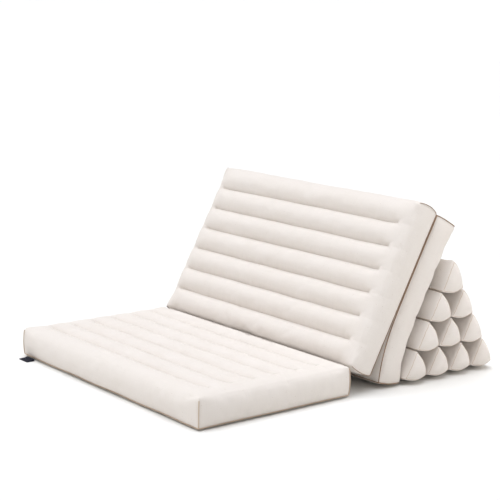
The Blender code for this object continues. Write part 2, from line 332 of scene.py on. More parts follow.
def inflate(made, sewn, reach):
    # Stuffs the cover: pressure from inside, the sewn points held, the cloth cut a little large
    start = pointsOf(made.data)
    group = made.vertex_groups.new(name="sewn")
    for weight in np.unique(sewn[sewn > 0.0]):
        group.add(np.flatnonzero(sewn == weight).tolist(), float(weight), "REPLACE")
    stuffing = made.modifiers.new("stuffing", "CLOTH")
    stuffing.collision_settings.use_collision = False
    stuffing.point_cache.frame_end = filling["frames"]
    fabric = stuffing.settings
    fabric.quality = filling["quality"]
    fabric.vertex_group_mass = "sewn"
    fabric.effector_weights.gravity = 0.0
    fabric.use_pressure = True
    fabric.uniform_pressure_force = filling["pressure"]
    fabric.shrink_min = -filling["slack"]
    fabric.bending_stiffness = filling["bending"]
    for step in range(1, filling["frames"] + 1):
        scene.frame_set(step)
    mesh = evaluatedMesh(made)
    move = pointsOf(mesh) - start
    bpy.data.meshes.remove(mesh)
    made.modifiers.remove(stuffing)
    made.vertex_groups.clear()
    scene.frame_set(1)
    far = np.linalg.norm(move, axis=1)
    mean, most = np.round(far.mean() * 1000, 2), np.round(far.max() * 1000, 2)
    print("   ", made.name, "moved", mean, "mm, most", most)
    return start + move * np.minimum(1.0, reach / np.maximum(far, 1e-9))[:, None]


def boxCover(cuts):
    # A closed box of cloth with these cuts along x, y and z: its points, its faces, and each face's side
    last = [len(c) - 1 for c in cuts]
    number, points, faces, sides = {}, [], [], []

    def point(i, j, k):
        if (i, j, k) not in number:
            number[i, j, k] = len(points)
            points.append((cuts[0][i], cuts[1][j], cuts[2][k]))
        return number[i, j, k]

    for axis, (across, along) in enumerate(((1, 2), (2, 0), (0, 1))):
        for end in (0, last[axis]):
            for a in range(last[across]):
                for b in range(last[along]):
                    ring = []
                    for da, db in ((0, 0), (1, 0), (1, 1), (0, 1)):
                        index = [0, 0, 0]
                        index[axis], index[across], index[along] = end, a + da, b + db
                        ring.append(point(*index))
                    faces.append(ring if end else ring[::-1])
                    sides.append(axis)
    return np.array(points), faces, sides


def roundedBox(flat, size, crispEnd):
    # Rounds the box's edges: softly round the quilted face, and tighter at the seams and the hinged end
    fromCorner = size[[1, 0]] / 2.0 - np.abs(flat[:, [1, 0]])
    fromHinge = size[1] / 2.0 - crispEnd * flat[:, 1:2]
    soft = (flat[:, 2:] > 0.0) * (1.0 - mat["crispShare"] * (1.0 - smooth(fromHinge / mat["cornerReach"])))
    more = (mat["faceRadius"] - mat["seamRadius"]) * soft
    radii = mat["seamRadius"] + more * np.ones(3)
    radii[:, :2] = mat["seamRadius"] + more * smooth(fromCorner / mat["cornerReach"])
    limit = size / 2.0 - radii
    inner = np.clip(flat, -limit, limit)
    over = flat - inner
    shares = over / radii
    length = np.linalg.norm(shares, axis=1)
    longest = np.abs(shares).max(axis=1)
    scale = np.where(length > 1e-9, longest / np.maximum(length, 1e-9), 0.0)
    return inner + over * scale[:, None]


def lineDistance(flat, size, section):
    # How far each point is from its nearest sewn line, and how much the line counts there
    pitch = size[1] / mat["channels"]
    v = flat[:, 1] + size[1] / 2.0
    nearest = np.clip(np.round(v / pitch), 1, mat["channels"] - 1)
    left, right = section["lines"]
    inside = np.minimum(flat[:, 0] - left, right - flat[:, 0])
    return np.abs(v - nearest * pitch), smooth(inside / mat["lineEndFade"] + 0.5), inside


def filledShape(flat, size, section):
    made = roundedBox(flat, size, section["crispEnd"])
    fromSide = size[0] / 2.0 - np.abs(flat[:, 0])
    fromEnd = size[1] / 2.0 - np.abs(flat[:, 1])
    v = flat[:, 1] + size[1] / 2.0
    pitch = size[1] / mat["channels"]
    away, sewn, _ = lineDistance(flat, size, section)
    top = np.abs(flat[:, 2] - size[2] / 2.0) < 1e-6
    under = np.abs(flat[:, 2] + size[2] / 2.0) < 1e-6
    crown = smooth(np.minimum.reduce([fromSide / mat["crownReach"], fromEnd / mat["crownReach"],
                                      v / section["lowerReach"]]))
    groove = (1.0 - np.minimum(1.0, away / (pitch / 2.0))) ** mat["groovePower"] * sewn
    made[:, 2] += top * (section["crown"] * crown - mat["grooveDepth"] * groove)
    # Past its ends a line still pulls the border down a little
    dip = (1.0 - np.minimum(1.0, away / (pitch / 2.0))) ** 2 * (1.0 - sewn)
    made[:, 2] -= section["borderDip"] * dip * np.clip(flat[:, 2] / size[2] + 0.5, 0.0, 1.0) ** 2
    underGroove = (1.0 - np.minimum(1.0, away / mat["underGrooveReach"])) ** 2 * sewn
    made[:, 2] += under * mat["underGrooveDepth"] * underGroove
    bulge = mat["sideBulge"] * np.cos(np.pi * flat[:, 2] / size[2])
    for axis, fromCorner in ((0, fromEnd), (1, fromSide)):
        onSide = np.abs(np.abs(flat[:, axis]) - size[axis] / 2.0) < 1e-6
        share = section["cornerShare"] + (1.0 - section["cornerShare"]) * smooth(
            fromCorner / mat["sideBulgeReach"])
        made[:, axis] += onSide * np.sign(flat[:, axis]) * bulge * share
    # The perimeter seam is drawn up a little from the plane of the underside
    near = 1.0 - smooth(np.minimum(fromSide, fromEnd) / section["riseReach"])
    low = 1.0 - smooth((flat[:, 2] + size[2] / 2.0) / section["riseReach"])
    uneven = 1.0 + 0.25 * np.sin(31.0 * flat[:, 0]) * np.cos(23.0 * flat[:, 1])
    made[:, 2] += section["seamRise"] * near * low * uneven
    # and drawn in from the sides
    beside = 1.0 - smooth(fromSide / section["riseReach"])
    made[:, 0] -= np.sign(flat[:, 0]) * section["seamTuck"] * beside * low
    # The rear section stands on its lower end, which is rounded underneath
    low = 1.0 - smooth((flat[:, 2] + size[2] / 2.0) / mat["cornerReach"])
    foot = 1.0 - smooth(v / mat["cornerReach"])
    made[:, 1] += section["footLift"] * foot * (0.45 + 0.55 * low)
    return made


def direction(slope):
    return np.array([0.0, math.cos(slope), math.sin(slope)])


def backFoot():
    return np.array([0.0, sections["seat"]["length"] + lean["hingeGap"],
                     mat["thickness"] + lean["liftOffSeat"]])


def placeSeat(points):
    placed = points + np.array([0.0, sections["seat"]["length"] / 2.0, mat["thickness"] / 2.0])
    placed[:, 2] = np.maximum(0.0, placed[:, 2])
    return placed


def placeBack(points):
    up, behind = direction(lean["angle"]), direction(lean["angle"] - math.pi / 2.0)
    placed = backFoot() + np.outer(points[:, 1] + sections["back"]["length"] / 2.0, up)
    placed += np.outer(mat["thickness"] / 2.0 - points[:, 2], behind)
    placed[:, 0] += points[:, 0]
    return placed


def placeRear(points):
    length = sections["rear"]["length"]
    behind = direction(lean["angle"] - math.pi / 2.0)
    top = backFoot() + direction(lean["angle"]) * sections["back"]["length"]
    top = top + behind * (1.5 * mat["thickness"] + lean["sectionGap"])
    # The middle line, from a little above the top edge to a little below the lower end
    step = length / lean["bendSteps"]
    extra = 4
    place, slopes, distances = [], [], []
    point = top + direction(lean["angle"]) * step * extra
    for k in range(-extra, lean["bendSteps"] + extra + 1):
        bent = max(0.0, (k * step - lean["bendStart"]) / (length - lean["bendStart"]))
        slope = lean["angle"] + lean["bendAngle"] * bent * bent
        place.append(point)
        slopes.append(slope)
        distances.append(k * step)
        point = point - direction(slope) * step
    place = np.array(place)
    down = length / 2.0 - points[:, 1]
    middle = np.stack([np.interp(down, distances, place[:, i]) for i in range(3)], axis=1)
    slope = np.interp(down, distances, slopes)
    placed = middle.copy()
    placed[:, 1] += np.sin(slope) * points[:, 2]
    placed[:, 2] += -np.cos(slope) * points[:, 2]
    placed[:, 0] = -points[:, 0]
    placed[:, 2] = np.maximum(0.0, placed[:, 2])
    return placed


sections["seat"]["place"] = placeSeat
sections["back"]["place"] = placeBack
sections["rear"]["place"] = placeRear


def sectionCuts(length):
    half, pitch = length / 2.0, length / mat["channels"]
    inner = mat["width"] - 2.0 * mat["edgeCuts"][-1]
    steps = round(inner / mat["acrossCell"])
    near = (0.0, *mat["edgeCuts"])
    across = [*near[:-1], *[near[-1] + inner * k / steps for k in range(steps + 1)]]
    across += [mat["width"] - cut for cut in near[:-1]]
    along = [0.0, length, pitch / 2.0, length - pitch / 2.0]
    along += [*mat["firstChannelCuts"], *[length - cut for cut in mat["firstChannelCuts"]]]
    for k in range(1, mat["channels"]):
        along.append(k * pitch)
        along += [k * pitch + side * cut for side in (-1.0, 1.0) for cut in mat["lineCuts"]]
        along.append((k + 0.5) * pitch)
    along = sorted(set(round(y, 6) for y in along))
    return (np.sort(np.array(across)) - mat["width"] / 2.0, np.array(along) - half,
            np.array(mat["heightCuts"]) - mat["thickness"] / 2.0)


def setCreases(mesh, sharpness):
    creases = mesh.attributes.new("crease_edge", "FLOAT", "EDGE")
    creases.data.foreach_set("value", np.asarray(sharpness, np.float32))


def edgePairs(mesh):
    pairs = np.zeros(len(mesh.edges) * 2, np.int32)
    mesh.edges.foreach_get("vertices", pairs)
    return pairs.reshape(-1, 2)


def subdivided(made, levels=1):
    finer = made.modifiers.new("finer", "SUBSURF")
    finer.levels = levels
    finer.render_levels = levels
    mesh = evaluatedMesh(made)
    made.modifiers.remove(finer)
    old = made.data
    made.data = mesh
    bpy.data.meshes.remove(old)
    return mesh


def vertexNormals(mesh):
    normals = np.zeros(len(mesh.vertices) * 3)
    mesh.vertices.foreach_get("normal", normals)
    return normals.reshape(-1, 3)


def onSeam(flat, size):
    # Points of the perimeter seam round the underside, and of the four corner seams
    low = np.abs(flat[:, 2] + size[2] / 2.0) < 1e-5
    atSide = np.abs(np.abs(flat[:, 0]) - size[0] / 2.0) < 1e-5
    atEnd = np.abs(np.abs(flat[:, 1]) - size[1] / 2.0) < 1e-5
    return low & (atSide | atEnd), atSide & atEnd


cover = {
    "lump": 0.0011,
    "lumpSize": 0.075,
    "crumple": 0.0008,
    "crumpleSize": 0.022,
    "pucker": 0.0015,
    "puckerSize": 0.013,
    "puckerReach": 0.012,
    "endCrease": 0.0025,
    "endCreaseLength": 0.030,
    "endCreaseWidth": 0.0045,
    "bite": 0.0014,
    "biteReach": 0.0024,
    "endPit": 0.0018,
    "endPitReach": 0.0045,
    "drift": 0.0012,
    "driftSize": 0.09,
    "seamPinch": 0.0016,
    "seamPinchReach": 0.005,
}


def sectionDetail(mesh, flat, size, section, seed):
    # Lumps of filling, small crumples, and puckers where a line is sewn
    points, normals = pointsOf(mesh), vertexNormals(mesh)
    top = np.abs(flat[:, 2] - size[2] / 2.0) < 1e-4
    under = np.abs(flat[:, 2] + size[2] / 2.0) < 1e-4
    free = np.where(under, 0.15, 1.0)
    away, sewn, inside = lineDistance(flat, size, section)
    lineNear = np.exp(-((away / mat["lineCuts"][1]) ** 2)) * sewn * top
    ridge = cover["lump"] * softNoise(flat, cover["lumpSize"], seed)
    ridge += cover["crumple"] * softNoise(flat, cover["crumpleSize"], seed + 3)
    ridge *= free * (1.0 - 0.8 * lineNear)
    alongLine = np.stack([flat[:, 0], 0.25 * flat[:, 1], flat[:, 2]], axis=1)
    near = np.exp(-((away - 0.004) / cover["puckerReach"]) ** 2) * sewn * top
    ridge += cover["pucker"] * near * softNoise(alongLine, cover["puckerSize"], seed + 5)
    ridge -= cover["bite"] * np.exp(-((away / cover["biteReach"]) ** 2)) * sewn * top
    # Two short creases fan out past each end of a sewn line
    past = -inside
    spread = np.abs(away - 0.55 * np.clip(past, 0.0, 1.0))
    crease = np.exp(-((spread / cover["endCreaseWidth"]) ** 2)) * top
    crease *= smooth((past + 0.012) / 0.012) * (1.0 - smooth(past / cover["endCreaseLength"]))
    ridge -= cover["endCrease"] * crease
    ridge -= cover["endPit"] * np.exp(-((np.hypot(away, inside) / cover["endPitReach"]) ** 2)) * top
    # The cover is drawn in beside a seam
    fromSide = size[0] / 2.0 - np.abs(flat[:, 0])
    fromEnd = size[1] / 2.0 - np.abs(flat[:, 1])
    fromLow = flat[:, 2] + size[2] / 2.0
    onSides = (fromSide < 1e-4) | (fromEnd < 1e-4)
    toCorner = np.hypot(fromSide, fromEnd)
    seamAway = np.minimum(toCorner, np.where(onSides, fromLow, np.minimum(fromSide, fromEnd) + fromLow))
    isSeam = seamAway < 1e-4
    pinch = np.exp(-((seamAway / cover["seamPinchReach"]) ** 2))
    ridge = ridge * (1.0 - pinch) - cover["seamPinch"] * pinch * ~isSeam
    detailed = points + normals * ridge[:, None]
    # No line is sewn quite straight
    line = np.round((flat[:, 1] + size[1] / 2.0) / size[1] * mat["channels"])
    beside = np.stack([flat[:, 0], line * 0.31, 0.0 * line], axis=1)
    wander = softNoise(beside, cover["driftSize"], seed + 9)
    detailed[:, 1] += cover["drift"] * wander * sewn * np.exp(-((away / 0.016) ** 2)) * top
    return detailed


def clothUvs(mesh, flat, sides):
    # Thread directions: each face of the cover lies flat in its own plane, in metres
    layer = mesh.uv_layers.new(name="cloth")
    loops = np.zeros(len(mesh.loops), np.int32)
    mesh.loops.foreach_get("vertex_index", loops)
    per = np.zeros(len(mesh.polygons), np.int32)
    mesh.polygons.foreach_get("loop_total", per)
    faceOfLoop = np.repeat(np.arange(len(mesh.polygons)), per)
    axes = np.array(sides)[faceOfLoop]
    at = flat[loops]
    u = np.where(axes == 0, at[:, 1], at[:, 0])
    v = np.where(axes == 2, at[:, 1], at[:, 2])
    layer.data.foreach_set("uv", np.stack([u, v], axis=1).astype(np.float32).ravel())


def makeSection(name, section, seed):
    size = np.array([mat["width"], section["length"], mat["thickness"]])
    flat, faces, sides = boxCover(sectionCuts(section["length"]))
    made = makeObject(name + "_cover", filledShape(flat, size, section), faces, cloth)
    perimeter, corner = onSeam(flat, size)
    away, sewn, inside = lineDistance(flat, size, section)
    top = np.abs(flat[:, 2] - size[2] / 2.0) < 1e-6
    under = np.abs(flat[:, 2] + size[2] / 2.0) < 1e-6
    onLine = (away < 1e-5) & (inside > -1e-4)
    held = np.where(under | perimeter | corner | (onLine & top), 1.0, 0.0)
    shaped = inflate(made, held, filling["matReach"])
    setPoints(made.data, shaped)
    storePoints(made.data, "flat", flat)
    pairs = edgePairs(made.data)
    seam, lineTop = perimeter | corner, onLine & (top | under)
    sameLine = flat[pairs[:, 0], 1] == flat[pairs[:, 1], 1]
    sharp = seam[pairs].all(axis=1) | (lineTop[pairs].all(axis=1) & sameLine)
    setCreases(made.data, np.where(sharp, 1.0, 0.0))
    mesh = subdivided(made)
    fineFlat = readPoints(mesh, "flat")
    detailed = sectionDetail(mesh, fineFlat, size, section, seed)
    setPoints(mesh, section["place"](detailed) + np.array(matMiddle))
    clothUvs(mesh, fineFlat, np.repeat(sides, 4))
    mesh.name = made.name
    section["fine"], section["flat"], section["size"] = pointsOf(mesh), fineFlat, size
    section["normals"] = vertexNormals(mesh)
    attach(made, "root")
    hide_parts(section["node"])
    return made


for seed, (name, section) in enumerate(sections.items()):
    makeSection(name, section, seed + 1)
print("mat sections made")


# The wedge: ten stuffed triangular tubes

wedge = {
    "rows": 4,
    "pitch": 0.0825,
    "rowHeight": 0.0715,
    "topExtra": 0.0060,
    "length": 0.798,
    "shiftX": 0.010,
    "frontY": 0.6435,
    "baseZ": 0.0170,
    "seamInset": 0.0006,
    "bulge": 0.0155,
    "pressSlope": 0.48,
    "endShare": 0.36,
    "rearEndShare": 0.14,
    "baseEndShare": 0.55,
    "apexSkew": 0.5,
    "topRelax": 0.0034,
    "tipLift": 0.0055,
    "tipReach": 0.035,
    "rimRound": 0.055,
    "rimReach": 0.014,
    "pressedShare": 0.15,
    "floorShare": 1.35,
    "endReach": 0.08,
    "capPuff": 0.016,
    "capRoundness": 0.50,
    "capTuck": 0.004,
    "rimCrease": 0.10,
    "wallCells": 10,
    "endCuts": (0.003, 0.007, 0.013, 0.021, 0.031, 0.043, 0.057),
    "alongCell": 0.0125,
    "fill": 0.9,
}


def tubeCorners(row, column):
    # Top, lower rear and lower front seams in the YZ plane
    baseZ = wedge["baseZ"] + (wedge["rows"] - row) * wedge["rowHeight"]
    frontY = wedge["frontY"] + (wedge["rows"] - row) * wedge["pitch"] / 2.0 + (column - 1) * wedge["pitch"]
    height = wedge["rowHeight"] + (wedge["topExtra"] if row == 1 else 0.0)
    corners = np.array([[frontY + wedge["pitch"] / 2.0, baseZ + height], [frontY + wedge["pitch"], baseZ],
                        [frontY, baseZ]])
    towards = corners.mean(axis=0) - corners
    return corners + towards / np.linalg.norm(towards, axis=1)[:, None] * wedge["seamInset"]


def tubeWalls(row, column):
    # How full the base, front and rear walls are, at the ends and between them
    base, front, rear = (wedge["baseEndShare"], 1.0), (wedge["endShare"], 1.0), (wedge["endShare"], 1.0)
    if row == wedge["rows"]:
        base = (wedge["baseEndShare"], wedge["floorShare"])
    if column == row:
        rear = (wedge["rearEndShare"], 1.0)
    if (row, column) == (wedge["rows"], 1):
        front = (wedge["pressedShare"], wedge["pressedShare"])
    return base, front, rear


def tubeCover():
    # Points of one tube as place along it (-1 to 1 half lengths) and three corner shares, and its faces
    n, half = wedge["wallCells"], wedge["length"] / 2.0
    ring = []
    for k in range(3):
        for step in range(n):
            shares = [0.0, 0.0, 0.0]
            shares[k], shares[(k + 1) % 3] = 1.0 - step / n, step / n
            ring.append(tuple(shares))
    ends = [half - cut for cut in wedge["endCuts"]]
    inner = ends[-1]
    steps = round(2.0 * inner / wedge["alongCell"])
    stations = [-half] + [-e for e in ends[:-1]]
    stations += [-inner + 2.0 * inner * k / steps for k in range(steps + 1)]
    stations += ends[:-1][::-1] + [half]
    points = [(x, *shares) for x in stations for shares in ring]
    faces, sides = [], []
    count = len(ring)
    for s in range(len(stations) - 1):
        for k in range(count):
            after = (k + 1) % count
            faces.append((s * count + k, (s + 1) * count + k, (s + 1) * count + after, s * count + after))
            sides.append(1)
    for end, station in ((0, -half), (len(stations) - 1, half)):
        number = {}
        for k in range(count):
            number[tuple(round(n * share) for share in ring[k])] = end * count + k
        for a in range(1, n):
            for b in range(1, n - a):
                number[a, b, n - a - b] = len(points)
                points.append((station, a / n, b / n, (n - a - b) / n))
        for a in range(n):
            for b in range(n - a):
                c = n - a - b
                face = (number[a, b, c], number[a + 1, b, c - 1], number[a, b + 1, c - 1])
                faces.append(face if end == 0 else face[::-1])
                sides.append(0)
                if a and b + a < n:
                    other = (number[a, b, c], number[a, b + 1, c - 1], number[a - 1, b + 1, c])
                    faces.append(other if end == 0 else other[::-1])
                    sides.append(0)
    return np.array(points), faces, sides


def tubeShape(cut, corners, walls, isTop):
    x, shares = cut[:, 0], cut[:, 1:]
    place = shares @ corners
    fromEnd = wedge["length"] / 2.0 - np.abs(x)
    for k, (atEnd, between) in enumerate(walls):
        first, second = corners[(k + 1) % 3], corners[(k + 2) % 3]
        side = second - first
        length = np.linalg.norm(side)
        outward = np.array([-side[1], side[0]]) / length
        onWall = shares[:, k] < 1e-6
        share = shares[:, (k + 2) % 3] / np.maximum(shares[:, (k + 1) % 3] + shares[:, (k + 2) % 3], 1e-9)
        swell = np.minimum(4.0 * wedge["bulge"] * share * (1.0 - share),
                           wedge["pressSlope"] * np.minimum(share, 1.0 - share) * length)
        if k:
            # Front and rear walls are fullest near the apex
            toApex = shares[:, 0] - 0.5
            swell = swell * (1.0 + wedge["apexSkew"] * toApex * (1.0 - smooth(fromEnd / wedge["endReach"])))
        full = atEnd + (between - atEnd) * smooth(fromEnd / wedge["endReach"])
        place = place + (onWall * swell * full)[:, None] * outward
    # The wedge's top edge is round, and lifts a little at its ends
    lift = wedge["tipLift"] * np.exp(-((fromEnd / wedge["tipReach"]) ** 2)) * shares[:, 0] ** 2
    place[:, 1] += isTop * (lift - wedge["topRelax"] * smooth(4.0 * shares[:, 0] - 3.0))
    # The rim of an end is round
    rim = np.maximum(0.0, 1.0 - fromEnd / wedge["rimReach"]) ** 2
    place += (corners.mean(axis=0) - place) * (wedge["rimRound"] * rim)[:, None]
    atCap = fromEnd < 1e-6
    dome = np.maximum(0.0, 27.0 * shares.prod(axis=1)) ** wedge["capRoundness"]
    tuck = wedge["capTuck"] * np.maximum(0.0, 2.0 * shares.max(axis=1) - 1.0) ** 2
    puff = atCap * np.sign(x) * (wedge["capPuff"] * dome - tuck)
    return np.stack([wedge["shiftX"] + x + puff, place[:, 0], np.maximum(0.0, place[:, 1])], axis=1)


def makeWedge():
    cut, faces, sides = tubeCover()
    tubes, seamLines = {}, []
    for row in range(1, wedge["rows"] + 1):
        for column in range(1, row + 1):
            tubes[row, column] = tubeShape(cut, tubeCorners(row, column), tubeWalls(row, column), row == 1)
    size = len(cut)
    together = np.concatenate(list(tubes.values()))
    allFaces = [tuple(k + t * size for k in face) for t in range(len(tubes)) for face in faces]
    stuffed = makeObject("wedge_stuffing", together, allFaces)
    atCorner = cut[:, 1:].max(axis=1) > 1.0 - 1e-6
    atCap = np.abs(np.abs(cut[:, 0]) - wedge["length"] / 2.0) < 1e-6
    onEdge = cut[:, 1:].min(axis=1) < 1e-6
    held = np.where(atCorner | (atCap & onEdge), 1.0, 0.0)
    shaped = inflate(stuffed, np.tile(held, len(tubes)), filling["tubeReach"])
    bpy.data.objects.remove(stuffed)
    for t, ((row, column), start) in enumerate(tubes.items()):
        moved = shaped[t * size:(t + 1) * size] - start
        made = makeObject(f"wedge_tube_cover_{row}_{column}", start + moved, faces, cloth)
        storePoints(made.data, "cutEnds", cut[:, :3])
        pairs = edgePairs(made.data)
        rim, long = atCap & onEdge, atCorner
        sharp = rim[pairs].all(axis=1) | (long[pairs].all(axis=1))
        setCreases(made.data, np.where(sharp, wedge["rimCrease"], 0.0))
        mesh = subdivided(made)
        fineCut = readPoints(mesh, "cutEnds")
        points, normals = pointsOf(mesh), vertexNormals(mesh)
        ridge = cover["crumple"] * softNoise(points, cover["crumpleSize"], 20 + t)
        ridge += cover["lump"] * 0.6 * softNoise(points, cover["lumpSize"] * 0.6, 40 + t)
        points = points + normals * ridge[:, None] * 0.8
        points[:, 2] = np.maximum(0.0, points[:, 2])
        setPoints(mesh, points + np.array(matMiddle))
        layer = mesh.uv_layers.new(name="cloth")
        loops = np.zeros(len(mesh.loops), np.int32)
        mesh.loops.foreach_get("vertex_index", loops)
        at = pointsOf(mesh)[loops]
        onCap = np.abs(fineCut[loops, 0]) > wedge["length"] / 2.0 - 1e-5
        u = np.where(onCap, at[:, 1], at[:, 0])
        layer.data.foreach_set("uv", np.stack([u, at[:, 2]], axis=1).astype(np.float32).ravel())
        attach(made, "root")
        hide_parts(f"wedge_tube_{row}_{column}")
        seamLines += tubeSeams(pointsOf(mesh), fineCut, row, column)
    return seamLines


def tubeSeams(points, cut, row, column):
    # The rim of each end, and the long seams on the wedge's front and rear slopes
    shares = np.stack([cut[:, 1], cut[:, 2], 1.0 - cut[:, 1] - cut[:, 2]], axis=1)
    lines = []
    around = np.arctan2((shares @ [0.0, 0.866, -0.866]), (shares @ [1.0, -0.5, -0.5]))
    for side in (-1.0, 1.0):
        rim = (np.abs(cut[:, 0] - side * wedge["length"] / 2.0) < 1e-5) & (shares.min(axis=1) < 1e-4)
        order = np.flatnonzero(rim)[np.argsort(around[rim])]
        lines.append(points[np.append(order, order[0])])
    outer = {0} | ({1} if column == row else set()) | ({2} if column == 1 else set())
    for k in outer:
        if column in (1, row):
            long = shares[:, k] > 1.0 - 1e-4
            order = np.flatnonzero(long)[np.argsort(cut[long, 0])]
            lines.append(points[order])
    return lines


wedgeSeams = makeWedge()
print("wedge made")


# Sewing: stitches along the quilted lines, and a ridge along each seam

stitching = {"pitch": 0.0052, "length": 0.0040, "thickness": 0.0009, "rise": 0.0003}
seamRidge = {"spacing": 0.006, "wedgeRadius": 0.0006}


def stitchTree():
    tree = bpy.data.node_groups.new("stitches along a path", "GeometryNodeTree")
    sockets = tree.interface
    sockets.new_socket("Geometry", in_out="INPUT", socket_type="NodeSocketGeometry")
    for label in ("Pitch", "Stitch length", "Thickness"):
        sockets.new_socket(label, in_out="INPUT", socket_type="NodeSocketFloat")
    sockets.new_socket("Thread", in_out="INPUT", socket_type="NodeSocketMaterial")
    sockets.new_socket("Geometry", in_out="OUTPUT", socket_type="NodeSocketGeometry")
    given = addNode(tree, "NodeGroupInput")
    path = addNode(tree, "GeometryNodeMeshToCurve", {"Mesh": given.outputs["Geometry"]})
    spaced = addNode(tree, "GeometryNodeResampleCurve", {"Curve": path.outputs[0],
                                                         "Length": given.outputs["Pitch"]}, mode="LENGTH")
    bead = addNode(tree, "GeometryNodeMeshUVSphere", {"Segments": 6, "Rings": 4, "Radius": 0.5})
    scale = addNode(tree, "ShaderNodeCombineXYZ", {0: given.outputs["Stitch length"],
                                                   1: given.outputs["Thickness"],
                                                   2: given.outputs["Thickness"]})
    shaped = addNode(tree, "GeometryNodeTransform", {"Geometry": bead.outputs["Mesh"],
                                                     "Scale": scale.outputs[0]})
    tangent = addNode(tree, "GeometryNodeInputTangent")
    turned = addNode(tree, "FunctionNodeAlignRotationToVector", {"Vector": tangent.outputs[0]}, axis="X")
    placed = addNode(tree, "GeometryNodeInstanceOnPoints", {"Points": spaced.outputs[0],
                                                            "Instance": shaped.outputs[0],
                                                            "Rotation": turned.outputs[0]})
    real = addNode(tree, "GeometryNodeRealizeInstances", {"Geometry": placed.outputs[0]})
    soft = addNode(tree, "GeometryNodeSetShadeSmooth", {"Geometry": real.outputs[0]})
    finished = addNode(tree, "GeometryNodeSetMaterial", {"Geometry": soft.outputs[0],
                                                         "Material": given.outputs["Thread"]})
    addNode(tree, "NodeGroupOutput", {"Geometry": finished.outputs[0]})
    return tree


def seamTree():
    tree = bpy.data.node_groups.new("ridge along a seam", "GeometryNodeTree")
    sockets = tree.interface
    sockets.new_socket("Geometry", in_out="INPUT", socket_type="NodeSocketGeometry")
    sockets.new_socket("Radius", in_out="INPUT", socket_type="NodeSocketFloat")
    sockets.new_socket("Spacing", in_out="INPUT", socket_type="NodeSocketFloat")
    sockets.new_socket("Cloth", in_out="INPUT", socket_type="NodeSocketMaterial")
    sockets.new_socket("Geometry", in_out="OUTPUT", socket_type="NodeSocketGeometry")
    given = addNode(tree, "NodeGroupInput")
    path = addNode(tree, "GeometryNodeMeshToCurve", {"Mesh": given.outputs["Geometry"]})
    spaced = addNode(tree, "GeometryNodeResampleCurve", {"Curve": path.outputs[0],
                                                         "Length": given.outputs["Spacing"]}, mode="LENGTH")
    outline = addNode(tree, "GeometryNodeCurvePrimitiveCircle", {"Resolution": 8,
                                                                 "Radius": given.outputs["Radius"]})
    ridge = addNode(tree, "GeometryNodeCurveToMesh", {"Curve": spaced.outputs[0],
                                                      "Profile Curve": outline.outputs[0],
                                                      "Fill Caps": True})
    soft = addNode(tree, "GeometryNodeSetShadeSmooth", {"Geometry": ridge.outputs[0]})
    real = addNode(tree, "GeometryNodeRealizeInstances", {"Geometry": soft.outputs[0]})
    finished = addNode(tree, "GeometryNodeSetMaterial", {"Geometry": real.outputs[0],
                                                         "Material": given.outputs["Cloth"]})
    addNode(tree, "NodeGroupOutput", {"Geometry": finished.outputs[0]})
    return tree


def alongPaths(name, paths, tree, values):
    # Runs a node tree along these paths and keeps the result as one plain mesh
    points, edges = [], []
    for path in paths:
        first = len(points)
        points += [tuple(p) for p in path]
        edges += [(k, k + 1) for k in range(first, len(points) - 1)]
    guide = makeObject(name + "_path", points, (), edges=edges)
    made = guide.modifiers.new("along", "NODES")
    made.node_group = tree
    for item in tree.interface.items_tree:
        if item.in_out == "INPUT" and item.name in values:
            made[item.identifier] = values[item.name]
    mesh = evaluatedMesh(guide)
    mesh.name = name
    bpy.data.objects.remove(guide)
    done = bpy.data.objects.new(name, mesh)
    scene.collection.objects.link(done)
    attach(done, "root")
    return done


def linePaths(section, face):
    # The sewn lines as they lie on the finished cover; face 1 is the quilted one and -1 the other
    flat, size = section["flat"], section["size"]
    onFace = np.abs(flat[:, 2] - face * size[2] / 2.0) < 1e-4
    away, _, inside = lineDistance(flat, size, section)
    pitch = size[1] / mat["channels"]
    paths = []
    for k in range(1, mat["channels"]):
        here = onFace & (inside > -0.001) & (np.abs(flat[:, 1] + size[1] / 2.0 - k * pitch) < 1e-4)
        order = np.flatnonzero(here)[np.argsort(flat[here, 0])]
        out = section["normals"][order].mean(axis=0)
        out /= np.linalg.norm(out)
        paths.append(section["fine"][order] + out * stitching["rise"])
    return paths


def seamPaths(section):
    flat, size = section["flat"], section["size"]
    half = size / 2.0
    low = np.abs(flat[:, 2] + half[2]) < 1e-4
    paths = []
    for axis in range(2):
        for side in (-1.0, 1.0):
            here = low & (np.abs(flat[:, axis] - side * half[axis]) < 1e-4)
            order = np.flatnonzero(here)[np.argsort(flat[here, 1 - axis])]
            paths.append(section["fine"][order])
    for sideX in (-1.0, 1.0):
        for sideY in (-1.0, 1.0):
            here = np.abs(flat[:, 0] - sideX * half[0]) < 1e-4
            here &= np.abs(flat[:, 1] - sideY * half[1]) < 1e-4
            order = np.flatnonzero(here)[np.argsort(flat[here, 2])]
            paths.append(section["fine"][order][:-1])
    return paths


stitches, seams = stitchTree(), seamTree()
for name, section in sections.items():
    paths = linePaths(section, 1.0) + linePaths(section, -1.0)
    alongPaths(name + "_quilting_stitches", paths, stitches, {
        "Pitch": stitching["pitch"], "Stitch length": stitching["length"],
        "Thickness": stitching["thickness"], "Thread": threadWithPaintedShade})
    # The back and rear seams take the darker painted shade of the gap between them
    alongPaths(name + "_seams", seamPaths(section), seams, {
        "Radius": section["seamRadius"], "Spacing": seamRidge["spacing"],
        "Cloth": seamClothWithPaintedShade if name == "seat" else paintedGapShadeCloth})
alongPaths("wedge_seams", wedgeSeams, seams, {
    "Radius": seamRidge["wedgeRadius"], "Spacing": seamRidge["spacing"], "Cloth": seamClothWithPaintedShade})
print("sewing made")


# Hinge strips and tab

